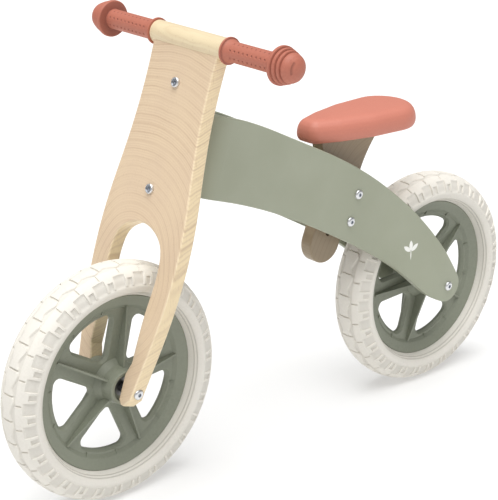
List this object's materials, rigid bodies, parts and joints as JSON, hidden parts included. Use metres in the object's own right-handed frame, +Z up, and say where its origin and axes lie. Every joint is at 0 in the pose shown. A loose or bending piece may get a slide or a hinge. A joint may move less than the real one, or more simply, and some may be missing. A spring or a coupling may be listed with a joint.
{
  "type": "balance bike",
  "caption": "Child's two-wheeled balance bike: bent-ply frame, one-piece wooden fork board steering about a pin behind it, moulded wheels with foam tyres, and a sliding seat.",
  "frame": {"origin": "on the ground midway between the two axles", "axes": "+X forward, +Y to the rider's left, +Z up"},
  "size_m": [0.817, 0.352, 0.5508],
  "materials": {
    "sage_paint": "satin paint over plywood",
    "beech": "clear satin lacquer",
    "beech_dark": "clear satin lacquer, browner",
    "coral_rubber": "matte moulded rubber",
    "coral_pad": "soft moulded foam skin",
    "cream_tyre": "matte foam rubber",
    "sage_plastic": "moulded plastic",
    "bolt_steel": "zinc-plated",
    "hidden_steel": "plain",
    "dark_nylon": "plain"
  },
  "bodies": {
    "frame": {"bent_frame": "sage_paint", "head_block": "beech", "steering_bushes": "dark_nylon", "post_spacers": "dark_nylon", "seat_bolts": "bolt_steel", "seat_nuts": "bolt_steel", "rear_axle": "hidden_steel", "rear_axle_bolts": "bolt_steel", "rear_spacers": "dark_nylon"},
    "steering": {"fork_board": "beech", "handlebar": "beech", "handlebar_pins": "beech", "left_grip": "coral_rubber", "right_grip": "coral_rubber", "connector_bolts": "bolt_steel", "barrel_nuts": "hidden_steel", "upper_steering_arm": "beech", "lower_steering_arm": "beech", "steering_pin": "hidden_steel", "pin_caps": "hidden_steel", "steering_washer": "dark_nylon", "front_axle": "hidden_steel", "front_axle_bolts": "bolt_steel", "front_spacers": "dark_nylon"},
    "front_wheel": {"front_tyre": "cream_tyre", "front_rim": "sage_plastic", "front_bearings": "hidden_steel"},
    "rear_wheel": {"rear_tyre": "cream_tyre", "rear_rim": "sage_plastic", "rear_bearings": "hidden_steel"},
    "seat": {"seat_post": "beech_dark", "seat_base": "beech", "seat_pad": "coral_pad", "seat_screws": "hidden_steel"}
  },
  "joints": [
    {"name": "steering_turn", "type": "hinge", "parent": "frame", "child": "steering", "pos_m": [0.14227, 0, 0.4], "axis": [-0.309, 0, 0.9511], "range_deg": [-35, 35]},
    {"name": "front_wheel_spin", "type": "hinge", "parent": "steering", "child": "front_wheel", "pos_m": [0.2635, 0, 0.145], "axis": [0, 1, 0], "continuous": true},
    {"name": "rear_wheel_spin", "type": "hinge", "parent": "frame", "child": "rear_wheel", "pos_m": [-0.2635, 0, 0.145], "axis": [0, 1, 0], "continuous": true},
    {"name": "seat_height", "type": "slide", "parent": "frame", "child": "seat", "axis": [-0.3518, 0, 0.9361], "range_m": [0, 0.024]}
  ]
}
